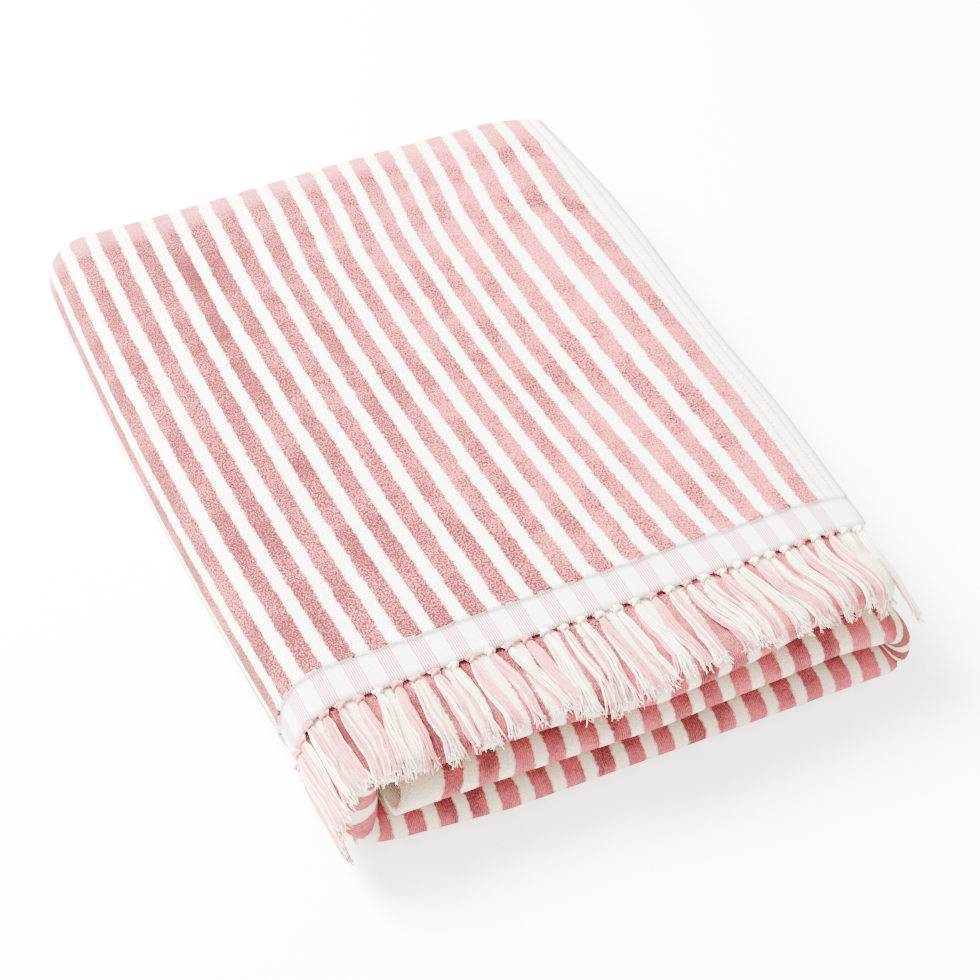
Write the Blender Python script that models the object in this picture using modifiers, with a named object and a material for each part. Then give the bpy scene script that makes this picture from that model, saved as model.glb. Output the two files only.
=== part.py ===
"""Striped terry beach towel with a knotted fringe at both ends, folded and laid flat.

Units are metres, +Z up, and the towel lies on z = 0. It is folded across its length into a packet of
four layers, and the packet is then folded in three across its width: over the top, round the left
side, along the bottom, round the right, and back through the middle.

A point of the cloth has three coordinates. `across` runs over the towel's width from its right side
hem, measured on the outer layer. `along` runs back from the row of knots that shows. `rise` runs out
through the packet, from 0 at its inner face. The fold tables count in stripes, one stripe being a
pink and a white band together.
"""
import math
import random

import bmesh
import bpy
import numpy as np

# Driving dimensions.
STRIPE = 0.0178            # a pink and a white band of the cloth
LAYER = 0.00485            # from one layer of the packet to the next
PILE = 0.0034              # thickness of the terry
BORDER = 0.0022            # thickness of the flat woven border at each end
BORDER_LENGTH = 1.28 * STRIPE
HEM = 0.0040               # thickness of the turned side hems
HEM_WIDTH = 0.8 * STRIPE
LOCKS = 100                # knotted locks at each end
LOCK_LENGTH = 0.060
LOCK_SWAY = 0.0013         # how far the locks lean to the side
STRIP_WIDTH = 0.0022       # the yarns between the cloth's edge and the knots
STRIP_THICKNESS = 0.0018
GAP = 0.0006               # between two pieces

# The packet's inner face, wound from the side hem that shows: run in stripes, turn in degrees.
PACKET = (
    # stretch, run, turn
    ("right drape", 2.20, 20.0),
    ("top", 14.40, 0.0),
    ("left top corner", 0.16, 72.0),
    ("left side", 1.20, 36.0),
    ("left bottom corner", 0.16, 72.0),
    ("bottom", 15.42, 0.0),
    ("right fold", 0.24, 180.0),
    ("middle", 14.83, 0.0),
)
DRAPE_TURN = PACKET[0][2]
HEM_X = 8.42 * STRIPE      # where the packet's inner face starts at the right side hem
LEFT_SWELL = 0.30          # the packet is this much thicker half way round the left side
LEFT_LOOSE = 0.40 * STRIPE  # how far the inner layers hang in at the left side,
LOOSE_FROM, LOOSE_TO = 225.0, 315.0   # between these headings
WALK = 0.02                # step along the packet, in stripes

# Rows along the cloth, in stripes back from the knots.
ROWS = (3.2, 8.5, 14.5, 20.5)
BACK_FOLD = 22.4           # centre of the folds at the back
HIDDEN_END = 3.5           # the other end of the towel, inside the packet
FRONT_DEPTH = 0.75         # how deep the front fold is rounded
FRONT_CREST = 2.85         # its top, in layers
CREST = (
    # along, share of the way down from the crest to the third layer
    (-0.9, 0.00),
    (-0.2, 0.26),
    (0.4, 0.74),
    (1.1, 1.00),
)

# Where the front fold and the end that shows lie, in stripes.
FRONT = (
    # across, front fold, end
    (0.0, -2.45, 0.00),
    (3.0, -2.55, 0.00),
    (6.0, -3.00, 0.00),
    (9.0, -3.25, 0.00),
    (12.0, -2.80, 0.00),
    (17.5, -2.65, 0.00),
    (20.0, -2.50, 0.00),
    (23.0, -2.90, 0.10),
    (26.0, -3.20, 0.20),
    (40.0, -3.20, 0.70),
    (43.0, -2.85, 0.80),
    (49.0, -3.10, 1.00),
    (57.0, -2.85, 1.24),
)

# Stations across the cloth, in stripes.
STATIONS = (
    # stretch, first, last, intervals
    ("hem", 0.05, 0.75, 1),
    ("drape", 0.95, 4.55, 4),
    ("top", 6.0, 15.0, 3),
    ("left fold", 16.3, 25.7, 13),
    ("bottom", 28.0, 36.0, 3),
    ("right fold", 37.2, 41.8, 9),
    ("middle", 44.5, 55.0, 4),
)

# A lock from its knot to its tip: distance, width and thickness in metres.
LOCK_SHAPE = (
    # place, distance, width, thickness
    ("knot", 0.0022, 0.0048, 0.0026),
    ("neck", 0.0046, 0.0026, 0.0018),
    ("tail", 0.0240, 0.0054, 0.0026),
    ("tail", 0.0330, 0.0054, 0.0026),
    ("tail", 0.0420, 0.0050, 0.0026),
    ("tail", 0.0500, 0.0046, 0.0024),
    ("tip", 0.0600, 0.0040, 0.0018),
)
COVERED_SHAPE = (LOCK_SHAPE[0], LOCK_SHAPE[4], LOCK_SHAPE[6])
INNER_SHAPE = (
    # place, distance, width, thickness
    ("knot", 0.0022, 0.0048, 0.0020),
    ("tip", 0.0600, 0.0044, 0.0014),
)
LOCK_RISE = 3.5 * LAYER + PILE / 2 - 0.0013   # the locks lie flush with the outer layer's pile
NOSE_CLEAR = 0.0020        # how far they clear the fold's nose
HANG_SLANT = 0.45          # and how far forward of straight down they hang
SHOWN_ACROSS = 21.0        # the locks up to here are in sight
DROOP_ACROSS = 16.6        # and up to here they hang over the front fold
INNER_CLIMB = 0.38 * LAYER  # the inner locks climb over the crest of the third layer

# The folded sides bow to the left at mid length: more under the right side, not at all at its edge.
BOW = 0.29 * STRIPE
BOW_CENTRE = 12.0 * STRIPE
BOW_REACH = 11.0 * STRIPE
BUMP = 0.19 * STRIPE
BUMP_X = 3.4 * STRIPE
BUMP_SPREAD = 2.2 * STRIPE
FADE = 0.50 * STRIPE
FADE_X = 4.8 * STRIPE
FADE_RUN = 4.2 * STRIPE

# The side hem that shows is drawn in towards its front corner.
DRAWN_ACROSS = 5.0 * STRIPE
DRAWN_BORDER = 0.30 * STRIPE
DRAWN_BORDER_RUN = 7.0 * STRIPE
DRAWN_FOLD = 0.45 * STRIPE
DRAWN_FOLD_START = 0.6 * STRIPE
DRAWN_FOLD_RUN = 2.0 * STRIPE

# The layers of the loose end inside have slipped past each other, most at the front.
SLIP = 0.42 * STRIPE
SLIP_ACROSS = 6.0 * STRIPE
SLIP_START = 2.0 * STRIPE
SLIP_RUN = 14.0 * STRIPE
SLIP_RISE = 2.9 * LAYER
SLIP_SPREAD = 1.2 * LAYER

# The pile is lower at its left side, and its top waves a little.
PIVOT_X = -7.0 * STRIPE
TILT = math.radians(1.6)
WAVE = 0.010               # share of the height
WAVE_X = 0.034
WAVE_ALONG = 0.051

SEED = 7
COLOURS = {
    "towel_cloth": (0.86, 0.56, 0.58, 1.0),
    "fringe_outer": (0.93, 0.78, 0.76, 1.0),
    "fringe_inner": (0.93, 0.80, 0.78, 1.0),
}


def smooth(share):
    """Ease from 0 to 1 as share goes from 0 to 1."""
    share = min(max(share, 0.0), 1.0)
    return share * share * (3.0 - 2.0 * share)


def wind_packet():
    """Walk the packet's inner face: place across the cloth, x, z, heading and swell."""
    rows = []
    heading = 180.0 - DRAPE_TURN
    x = z = 0.0
    for _, run, turn in PACKET:
        steps = max(4, round(run / WALK))
        for step in range(steps):
            middle = heading + turn * (step + 0.5) / steps
            left = min(max((middle - 180.0) / 180.0, 0.0), 1.0)
            rows.append((x, z, middle, 1.0 + LEFT_SWELL * math.sin(math.pi * left) ** 2))
            x += STRIPE * run / steps * math.cos(math.radians(middle))
            z += STRIPE * run / steps * math.sin(math.radians(middle))
        heading += turn
    rows.append((x, z, heading, 1.0))
    x, z, heading, swell = np.array(rows).T
    on_floor = np.abs(heading - 360.0) < 0.01
    x = x + HEM_X
    z = z - z[on_floor].mean() + 3.5 * LAYER + PILE / 2
    out = np.radians(heading - 90.0)
    outer_x = x + 4 * LAYER * swell * np.cos(out)
    outer_z = z + 4 * LAYER * swell * np.sin(out)
    walked = np.concatenate([[0.0], np.cumsum(np.hypot(np.diff(outer_x), np.diff(outer_z)))])
    return {"across": walked, "x": x, "z": z, "heading": heading, "swell": swell}


LINE = wind_packet()
CLOTH_WIDTH = LINE["across"][-1]
TOP_HEIGHT = LINE["z"][LINE["heading"] <= 180.0].max() + 4 * LAYER


def on_line(across, column):
    """Value of a column of the packet's line at a place across the cloth."""
    return np.interp(across, LINE["across"], LINE[column])


def read_table(table, across, column):
    """Value of a table's column, in metres, at a place across the cloth."""
    places = [row[0] * STRIPE for row in table]
    return np.interp(across, places, [row[column] * STRIPE for row in table])


def bow(x, along):
    """How far the folded cloth bows to the left."""
    depth = BOW + BUMP * math.exp(-(((x - BUMP_X) / BUMP_SPREAD) ** 2))
    depth -= FADE * smooth((x - FADE_X) / FADE_RUN)
    return depth * max(1.0 - ((along - BOW_CENTRE) / BOW_REACH) ** 2, 0.0)


def drawn_in(across, along):
    """How far the side hem that shows is drawn in to the left."""
    near_hem = max(1.0 - across / DRAWN_ACROSS, 0.0)
    by_border = DRAWN_BORDER * smooth((DRAWN_BORDER_RUN - along) / DRAWN_BORDER_RUN)
    by_fold = DRAWN_FOLD * smooth((DRAWN_FOLD_START - along) / DRAWN_FOLD_RUN)
    return near_hem * (by_border + by_fold)


def slipped(across, along, rise):
    """How far a layer of the loose end inside has slipped to the left."""
    near_end = smooth((across - CLOTH_WIDTH + SLIP_ACROSS) / SLIP_ACROSS)
    near_front = 1.0 - smooth((along - SLIP_START) / SLIP_RUN)
    return SLIP * near_end * near_front * float(np.clip((SLIP_RISE - rise) / SLIP_SPREAD, -0.4, 1.0))


def place(across, along, rise):
    """World position of a point of the folded cloth."""
    heading = on_line(across, "heading")
    out = math.radians(heading - 90.0)
    half_way = min(max((heading - LOOSE_FROM) / (LOOSE_TO - LOOSE_FROM), 0.0), 1.0)
    loose = LEFT_LOOSE * math.sin(math.pi * half_way) ** 2 * max(1.0 - rise / (2.0 * LAYER), 0.0)
    reach = (rise - loose) * on_line(across, "swell")
    drawn = drawn_in(across, along)
    x = on_line(across, "x") + reach * math.cos(out) - drawn - slipped(across, along, rise)
    z = on_line(across, "z") + reach * math.sin(out)
    z += drawn * math.tan(math.radians(max(180.0 - heading, 0.0)))
    x -= bow(x, along)
    tilt = math.tan(TILT) * (x - PIVOT_X) / TOP_HEIGHT
    wave = WAVE * math.sin(x / WAVE_X + 1.0) * math.sin(along / WAVE_ALONG)
    return x, along, z + max(z - PILE, 0.0) * (tilt + wave)


def arc(along, rise, depth, height, first, last, points):
    """Points of an elliptic arc round (along, rise), angles in degrees from straight back."""
    turns = [math.radians(first + (last - first) * i / (points - 1)) for i in range(points)]
    return [(along + depth * math.cos(turn), rise + height * math.sin(turn)) for turn in turns]


def front_arc(front):
    """Centre, depth and height of the front fold's middle line, for its foremost place."""
    low, high = 0.5 * LAYER, FRONT_CREST * LAYER
    depth = FRONT_DEPTH * STRIPE
    return front + PILE / 2 + depth, (low + high) / 2, depth, (high - low) / 2


def section(front, end):
    """The cloth's middle line from its outer end to its hidden one: along, rise, thickness."""
    rows = [row * STRIPE for row in ROWS]
    back = BACK_FOLD * STRIPE
    edge = end + BORDER_LENGTH
    border = [(end, 3.5 * LAYER), (end + 0.5 * BORDER_LENGTH, 3.5 * LAYER), (edge - 0.001, 3.5 * LAYER)]
    body = [(edge + 0.001, 3.5 * LAYER)]
    body += [(row, 3.5 * LAYER) for row in rows]
    body += arc(back, 2 * LAYER, 1.5 * LAYER, 1.5 * LAYER, 90, -90, 7)
    body += [(row, 0.5 * LAYER) for row in reversed(rows)]
    body += [(0.2 * STRIPE, 0.5 * LAYER)]
    body += arc(*front_arc(front), -90, -270, 8)
    crest = FRONT_CREST * LAYER
    body += [(at * STRIPE, crest + (1.5 * LAYER - crest) * fall) for at, fall in CREST]
    body += [(row, 1.5 * LAYER) for row in rows]
    body += arc(back, 2 * LAYER, 0.5 * LAYER, 0.5 * LAYER, -90, 90, 4)
    body += [(row, 2.5 * LAYER) for row in reversed(rows[1:])]
    hidden = HIDDEN_END * STRIPE + end
    tail = [(hidden + BORDER_LENGTH, 2.5 * LAYER), (hidden, 2.5 * LAYER)]
    points = [(at, rise, BORDER) for at, rise in border]
    points += [(at, rise, PILE) for at, rise in body]
    points += [(at, rise, BORDER) for at, rise in tail]
    return points


def stations():
    """Places across the cloth where its section is set, close together round the folds."""
    places = []
    for _, first, last, intervals in STATIONS:
        step = (last - first) / intervals
        places += [STRIPE * (first + step * i) for i in range(intervals + 1)]
    return places + [CLOTH_WIDTH - 0.75 * STRIPE, CLOTH_WIDTH - 0.05 * STRIPE]


def add_object(name, bm, collection):
    """Make a mesh object of the collection, in its own colour, from a bmesh."""
    mesh = bpy.data.meshes.new(name)
    bm.to_mesh(mesh)
    bm.free()
    material = bpy.data.materials.new(name)
    material.use_nodes = True
    shader = material.node_tree.nodes["Principled BSDF"]
    shader.inputs["Base Color"].default_value = COLOURS[name]
    shader.inputs["Roughness"].default_value = 0.9
    shader.inputs["Metallic"].default_value = 0.0
    mesh.materials.append(material)
    obj = bpy.data.objects.new(name, mesh)
    collection.objects.link(obj)
    return obj


def make_cloth(collection):
    """The whole towel as one folded sheet, thinner at its borders and thicker at its hems."""
    places = stations()
    sections = [section(read_table(FRONT, at, 1), read_table(FRONT, at, 2)) for at in places]
    rows = len(sections[0])
    bm = bmesh.new()
    bmesh.ops.create_grid(bm, x_segments=rows - 1, y_segments=len(places) - 1, size=0.5)
    weights = []
    for vert in bm.verts:
        row = round((vert.co.x + 0.5) * (rows - 1))
        column = round((vert.co.y + 0.5) * (len(places) - 1))
        at = places[column]
        along, rise, thickness = sections[column][row]
        if min(at, CLOTH_WIDTH - at) < HEM_WIDTH:
            thickness = HEM
        vert.co = place(at, along, rise)
        weights.append(thickness / HEM)
    cloth = add_object("towel_cloth", bm, collection)
    group = cloth.vertex_groups.new(name="thickness")
    for index, weight in enumerate(weights):
        group.add([index], weight, "REPLACE")
    solidify = cloth.modifiers.new("thickness", "SOLIDIFY")
    solidify.thickness = HEM
    solidify.offset = 0.0
    solidify.use_even_offset = True
    solidify.vertex_group = group.name
    return cloth


def drooping_line(front, start):
    """Middle of a lock that runs forward from its knot and hangs over the front fold."""
    centre, middle, depth, height = front_arc(front)
    over = LOCK_RISE - middle - height
    nose = arc(centre, middle, depth + over + NOSE_CLEAR, height + over, 90, 180, 9)
    along, rise = nose[-1]
    hanging = (along - HANG_SLANT * LOCK_LENGTH, rise - LOCK_LENGTH)
    return [(start, LOCK_RISE), (centre + 0.001, LOCK_RISE)] + nose + [hanging]


def level_line(start):
    """Middle of a lock that lies level in front of its knot."""
    return [(start, LOCK_RISE), (start - 2 * LOCK_LENGTH, LOCK_RISE)]


def inner_line(start):
    """Middle of a lock inside the packet, which climbs over the crest of the third layer."""
    level = 2.5 * LAYER
    return [(start, level), (start - LOCK_LENGTH, level + INNER_CLIMB)]


def lock_rings(knot, line, sway, shape):
    """Rings of a lock's four corners, one for each row of its shape."""
    along, rise = np.array(line).T
    walked = np.concatenate([[0.0], np.cumsum(np.hypot(np.diff(along), np.diff(rise)))])
    rings = []
    for _, distance, width, thickness in shape:
        ends = np.array([distance - 0.0005, distance + 0.0005])
        run = np.diff(np.interp(ends, walked, along))[0]
        climb = np.diff(np.interp(ends, walked, rise))[0]
        norm = math.hypot(run, climb)
        middle = knot + sway * smooth(distance / LOCK_LENGTH)
        ring = {}
        for side in (0, 1):
            for over in (0, 1):
                off = (over - 0.5) * thickness / norm
                at_along = np.interp(distance, walked, along) + off * climb
                at_rise = np.interp(distance, walked, rise) - off * run
                ring[side, over] = place(middle + (side - 0.5) * width, at_along, at_rise)
        rings.append(ring)
    return rings


def strip_ring(cut, along, rise):
    """Four corners of the strip at one cut across it."""
    ring = {}
    for front in (0, 1):
        for over in (0, 1):
            at_along = along - (front - 0.5) * STRIP_WIDTH
            ring[front, over] = place(cut, at_along, rise + (over - 0.5) * STRIP_THICKNESS)
    return ring


def draw_out(bm, face, corners, ring):
    """Extrude one face to a ring of corners, and return the new face."""
    order = [corners[vert] for vert in face.verts]
    new_face = bmesh.ops.extrude_discrete_faces(bm, faces=[face])["faces"][0]
    for vert, corner in zip(new_face.verts, order):
        corners[vert] = corner
        vert.co = ring[corner]
    return new_face


def make_strip(bm, rings):
    """Draw a bar through rings of four corners; return its front faces and each vertex's corner."""
    station_of = {}
    corners = {}
    cube = bmesh.ops.create_cube(bm, size=1.0)["verts"]
    far = next(face for face in bm.faces if all(vert.co.x > 0 for vert in face.verts))
    for vert in cube:
        station_of[vert] = int(vert.co.x > 0)
        corners[vert] = (int(vert.co.y > 0), int(vert.co.z > 0))
        vert.co = rings[station_of[vert]][corners[vert]]
    for station, ring in enumerate(rings[2:], start=2):
        far = draw_out(bm, far, corners, ring)
        station_of.update({vert: station for vert in far.verts})
    fronts = {}
    for face in bm.faces:
        ends = sorted({station_of[vert] for vert in face.verts})
        if len(ends) == 2 and all(corners[vert][0] == 1 for vert in face.verts):
            fronts[ends[0]] = face
    lock_corners = {vert: (station % 2, corners[vert][1]) for vert, station in station_of.items()}
    return fronts, lock_corners


def lock_course(knot, start):
    """Middle line and shape of a lock of the outer fringe."""
    if knot < DROOP_ACROSS * STRIPE:
        return drooping_line(read_table(FRONT, knot, 1), start), LOCK_SHAPE
    if knot < SHOWN_ACROSS * STRIPE:
        return level_line(start), LOCK_SHAPE
    return level_line(start), COVERED_SHAPE


def make_fringe(name, inner, collection):
    """One end's fringe: a narrow strip along the edge, with the knotted locks drawn out of it."""
    dice = random.Random(SEED + inner)
    pitch = (CLOTH_WIDTH - 0.5 * STRIPE) / LOCKS
    knots = [0.25 * STRIPE + pitch * (number + 0.5) for number in range(LOCKS)]
    cuts = [knot + side * 0.3 * pitch for knot in knots for side in (-1, 1)]
    edge = HIDDEN_END * STRIPE if inner else 0.0
    rise = (2.5 if inner else 3.5) * LAYER
    middles = [edge + read_table(FRONT, cut, 2) - GAP - STRIP_WIDTH / 2 for cut in cuts]
    bm = bmesh.new()
    fronts, corners = make_strip(bm, [strip_ring(cut, at, rise) for cut, at in zip(cuts, middles)])
    for number, knot in enumerate(knots):
        start = middles[2 * number] - STRIP_WIDTH / 2
        sway = LOCK_SWAY * (0.6 * math.sin(0.9 * number) + dice.uniform(-0.3, 0.3))
        line, shape = (inner_line(start), INNER_SHAPE) if inner else lock_course(knot, start)
        face = fronts[2 * number]
        for ring in lock_rings(knot, line, sway, shape):
            face = draw_out(bm, face, corners, ring)
    bmesh.ops.recalc_face_normals(bm, faces=bm.faces)
    return add_object(name, bm, collection)


def centre(objects):
    """Move the meshes so that the origin is under the middle of the towel."""
    bpy.context.view_layer.update()
    graph = bpy.context.evaluated_depsgraph_get()
    corners = [corner for obj in objects for corner in obj.evaluated_get(graph).bound_box]
    middle = (np.min(corners, axis=0) + np.max(corners, axis=0)) / 2
    for obj in objects:
        for vert in obj.data.vertices:
            vert.co.x -= middle[0]
            vert.co.y -= middle[1]
    print("origin at", middle, "size", np.max(corners, axis=0) - np.min(corners, axis=0))


def main():
    for obj in list(bpy.data.objects):
        bpy.data.objects.remove(obj)
    collection = bpy.data.collections.new("folded_beach_towel")
    bpy.context.scene.collection.children.link(collection)
    cloth = make_cloth(collection)
    outer = make_fringe("fringe_outer", False, collection)
    inner = make_fringe("fringe_inner", True, collection)
    centre([cloth, outer, inner])


main()
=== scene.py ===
# %% [markdown]
# # A striped beach towel, folded and laid flat
#
# The towel is one length of striped cotton terry. It ends in a flat woven border, and the warp ends
# beyond the border are knotted into a fringe. Someone has folded it into four layers, and then in
# three across its width. The solid model of that packet is loaded first. Everything below replaces
# its plain solids with finer cloth and real yarns, in the same place and at the same size.

# %% Load the solid model
import math

import bpy
import numpy as np
from mathutils import Matrix, Vector


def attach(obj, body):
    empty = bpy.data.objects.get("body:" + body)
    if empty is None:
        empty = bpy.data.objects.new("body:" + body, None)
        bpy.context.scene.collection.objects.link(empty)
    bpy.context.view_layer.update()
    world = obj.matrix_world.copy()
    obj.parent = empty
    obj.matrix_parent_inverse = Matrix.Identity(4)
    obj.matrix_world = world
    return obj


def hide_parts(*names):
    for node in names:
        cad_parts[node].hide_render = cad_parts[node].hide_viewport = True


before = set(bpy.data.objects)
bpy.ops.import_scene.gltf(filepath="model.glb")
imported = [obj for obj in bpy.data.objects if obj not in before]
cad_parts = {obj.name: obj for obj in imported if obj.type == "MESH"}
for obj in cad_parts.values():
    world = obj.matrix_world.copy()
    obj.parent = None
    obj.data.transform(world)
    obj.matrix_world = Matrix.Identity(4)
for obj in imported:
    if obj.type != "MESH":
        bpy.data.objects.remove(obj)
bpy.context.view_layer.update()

# %% [markdown]
# ## Camera
#
# The towel is seen from above its front right-hand side, from far enough away for its long edges to
# stay nearly parallel. A long lens does that. The camera is turned towards the towel, tipped down,
# and rolled by a couple of degrees, as when held by hand.

# %% Camera
CAMERA_PLACE = (-0.39817, -0.84352, 0.87717)
CAMERA_TURN = math.radians(-26.57)
CAMERA_TIP = math.radians(46.70)
CAMERA_ROLL = math.radians(1.99)
CAMERA_LENS = 82.65
FILM_WIDTH = 36.0

bpy.ops.object.select_all(action="DESELECT")
bpy.ops.object.camera_add(location=CAMERA_PLACE)
camera = bpy.context.object
camera.name = "camera"
turned = Matrix.Rotation(CAMERA_TURN, 3, "Z") @ Matrix.Rotation(CAMERA_TIP, 3, "X")
camera.rotation_euler = (turned @ Matrix.Rotation(CAMERA_ROLL, 3, "Z")).to_euler()
camera.data.lens = CAMERA_LENS
camera.data.sensor_width = FILM_WIDTH
camera.data.clip_end = 20.0
bpy.context.scene.camera = camera
print("camera at", CAMERA_PLACE, "with a lens of", CAMERA_LENS, "mm")

# %% [markdown]
# ## The cloth's own measures
#
# The towel is woven in stripes, a pink and a white band together being one stripe, so a stripe is a
# handy unit for where things are across the cloth. A layer of the packet takes up a little more than
# the thickness of the terry, because soft cloth never lies quite shut.

# %% Sizes of the cloth
STRIPE = 0.0178
LAYER = 0.00485
PILE = 0.0034
BORDER = 0.0022
BORDER_LENGTH = 1.28 * STRIPE
HEM = 0.0040
HEM_WIDTH = 0.8 * STRIPE
LOCKS = 100
LOCK_LENGTH = 0.060
ORIGIN = (0.00919794, -0.17263314)
print("one stripe is", round(1000 * STRIPE, 1), "mm and the pile", round(1000 * PILE, 1), "mm")

# %% [markdown]
# ## How the packet is wound
#
# Seen from the front, the packet's inner face is one line. It starts at the side hem that shows,
# drapes up to the top, runs left, turns down round the left side, runs back along the bottom, turns
# round the right fold and ends in the middle. Each stretch has a length in stripes and a turn in
# degrees. Walking along the stretches gives the line, and the cloth is laid out from it.

# %% Walk the line of the packet
PACKET = (
    # run, turn
    (2.20, 20.0),
    (14.40, 0.0),
    (0.16, 72.0),
    (1.20, 36.0),
    (0.16, 72.0),
    (15.42, 0.0),
    (0.24, 180.0),
    (14.83, 0.0),
)
HEM_X = 8.42 * STRIPE
LEFT_SWELL = 0.30
WALK = 0.02


def wind_packet():
    """Place across the outer layer, x, z, heading and swell, for each step along the line."""
    rows = []
    heading = 180.0 - PACKET[0][1]
    x = z = 0.0
    for run, turn in PACKET:
        steps = max(4, round(run / WALK))
        for step in range(steps):
            middle = heading + turn * (step + 0.5) / steps
            left = min(max((middle - 180.0) / 180.0, 0.0), 1.0)
            rows.append((x, z, middle, 1.0 + LEFT_SWELL * math.sin(math.pi * left) ** 2))
            x += STRIPE * run / steps * math.cos(math.radians(middle))
            z += STRIPE * run / steps * math.sin(math.radians(middle))
        heading += turn
    rows.append((x, z, heading, 1.0))
    x, z, heading, swell = np.array(rows).T
    on_floor = np.abs(heading - 360.0) < 0.01
    x = x + HEM_X
    z = z - z[on_floor].mean() + 3.5 * LAYER + PILE / 2
    out = np.radians(heading - 90.0)
    outer_x = x + 4 * LAYER * swell * np.cos(out)
    outer_z = z + 4 * LAYER * swell * np.sin(out)
    walked = np.concatenate([[0.0], np.cumsum(np.hypot(np.diff(outer_x), np.diff(outer_z)))])
    return {"across": walked, "x": x, "z": z, "heading": heading, "swell": swell}


LINE = wind_packet()
CLOTH_WIDTH = LINE["across"][-1]
TOP_HEIGHT = LINE["z"][LINE["heading"] <= 180.0].max() + 4 * LAYER
print("the cloth is", round(CLOTH_WIDTH, 3), "m wide and its top lies", round(TOP_HEIGHT, 4), "m up")

# %% [markdown]
# ## Nothing is quite straight
#
# A real packet isn't a box. Its folded sides bow, its side hem is drawn in towards the front corner,
# the inner layers hang loose at the left, and the loose end has slipped. Its front fold and the end
# that shows wander too. Each of these is a small formula, so that the cloth and the fringe can be
# sent through the same ones and stay together.

# %% Front fold and end, across the cloth
FRONT = (
    # across, front fold, end
    (0.0, -2.45, 0.00),
    (3.0, -2.55, 0.00),
    (6.0, -3.00, 0.00),
    (9.0, -3.25, 0.00),
    (12.0, -2.80, 0.00),
    (17.5, -2.65, 0.00),
    (20.0, -2.50, 0.00),
    (23.0, -2.90, 0.10),
    (26.0, -3.20, 0.20),
    (38.5, -3.20, 0.64),
    (38.8, -2.98, 0.65),
    (39.1, -3.20, 0.67),
    (40.0, -3.20, 0.70),
    (43.0, -2.85, 0.80),
    (49.0, -3.10, 1.00),
    (57.0, -2.85, 1.24),
)


def smooth(share):
    """Ease from 0 to 1 as share goes from 0 to 1."""
    share = np.clip(share, 0.0, 1.0)
    return share * share * (3.0 - 2.0 * share)


def read_table(table, across, column):
    """A column of a table in stripes, read in metres at places across the cloth."""
    rows = STRIPE * np.array(table)
    return np.interp(across, rows[:, 0], rows[:, column])


print("the front fold lies", [row[1] for row in FRONT[:4]], "stripes in front of the knots")

# %% [markdown]
# The bow is a shallow arc over the length of the packet, deepest at mid length, with a low bump near
# the right side and nothing at its very edge.

# %% Bow of the folded sides
BOW = 0.29 * STRIPE
BOW_CENTRE = 12.0 * STRIPE
BOW_REACH = 11.0 * STRIPE
BUMP = 0.19 * STRIPE
BUMP_X = 3.4 * STRIPE
BUMP_SPREAD = 2.2 * STRIPE
FADE = 0.50 * STRIPE
FADE_X = 4.8 * STRIPE
FADE_RUN = 4.2 * STRIPE


def bow(x, along):
    """How far the folded cloth bows to the left."""
    depth = BOW + BUMP * np.exp(-(((x - BUMP_X) / BUMP_SPREAD) ** 2))
    depth = depth - FADE * smooth((x - FADE_X) / FADE_RUN)
    return depth * np.maximum(1.0 - ((along - BOW_CENTRE) / BOW_REACH) ** 2, 0.0)


middle_bow = float(bow(np.array(0.0), np.array(BOW_CENTRE)))
print("at mid length the packet bows", round(1000 * middle_bow, 1), "mm to the left")

# %% [markdown]
# The side hem that shows is drawn in to the left at its front corner. Behind that it runs in a slow
# wave, which is given as a few places along it.

# %% Side hem that shows
DRAWN_ACROSS = 5.0 * STRIPE
DRAWN_BORDER = 0.30 * STRIPE
DRAWN_BORDER_RUN = 7.0 * STRIPE
DRAWN_FOLD = 0.45 * STRIPE
DRAWN_FOLD_START = 0.6 * STRIPE
DRAWN_FOLD_RUN = 2.0 * STRIPE
HEM_LINE = (
    # along, in stripes, how far the side hem stands out, in mm
    (2.5, 0.0),
    (5.2, -1.0),
    (9.3, -3.5),
    (11.9, -2.0),
    (15.1, 3.0),
    (17.8, 5.5),
    (22.2, 3.0),
)
HEM_LINE_ACROSS = 1.5 * STRIPE


def drawn_in(across, along):
    """How far the side hem that shows is drawn in to the left."""
    near_hem = np.maximum(1.0 - across / DRAWN_ACROSS, 0.0)
    by_border = DRAWN_BORDER * smooth((DRAWN_BORDER_RUN - along) / DRAWN_BORDER_RUN)
    by_fold = DRAWN_FOLD * smooth((DRAWN_FOLD_START - along) / DRAWN_FOLD_RUN)
    return near_hem * (by_border + by_fold)


def stands_out(across, along):
    """How far the wavy side hem that shows stands out to the right."""
    rows = np.array(HEM_LINE)
    wave = 0.001 * np.interp(along / STRIPE, rows[:, 0], rows[:, 1])
    return wave * np.clip(1.0 - across / HEM_LINE_ACROSS, 0.0, 1.0)


print("the side hem stands out by up to", max(row[1] for row in HEM_LINE), "mm")

# %% [markdown]
# Near the front the right fold reaches out past the side hem above it. The loose end inside has
# slipped to the left, its lower layers most.

# %% Right fold and loose end
REACH_OUT = 0.0048
REACH_FROM = 31.5
REACH_TO = 47.0
REACH_EASE = 6.5
REACH_BACK = 1.5 * STRIPE
REACH_FADE = 5.0 * STRIPE
SLIP = 0.42 * STRIPE
SLIP_ACROSS = 6.0 * STRIPE
SLIP_START = 2.0 * STRIPE
SLIP_RUN = 14.0 * STRIPE
SLIP_RISE = 2.9 * LAYER
SLIP_SPREAD = 1.2 * LAYER


def reaches_out(across, along):
    """How far the right fold reaches out to the right near the front."""
    count = across / STRIPE
    near_fold = smooth((count - REACH_FROM) / REACH_EASE) * smooth((REACH_TO - count) / REACH_EASE)
    return REACH_OUT * near_fold * (1.0 - smooth((along + REACH_BACK) / REACH_FADE))


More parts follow.
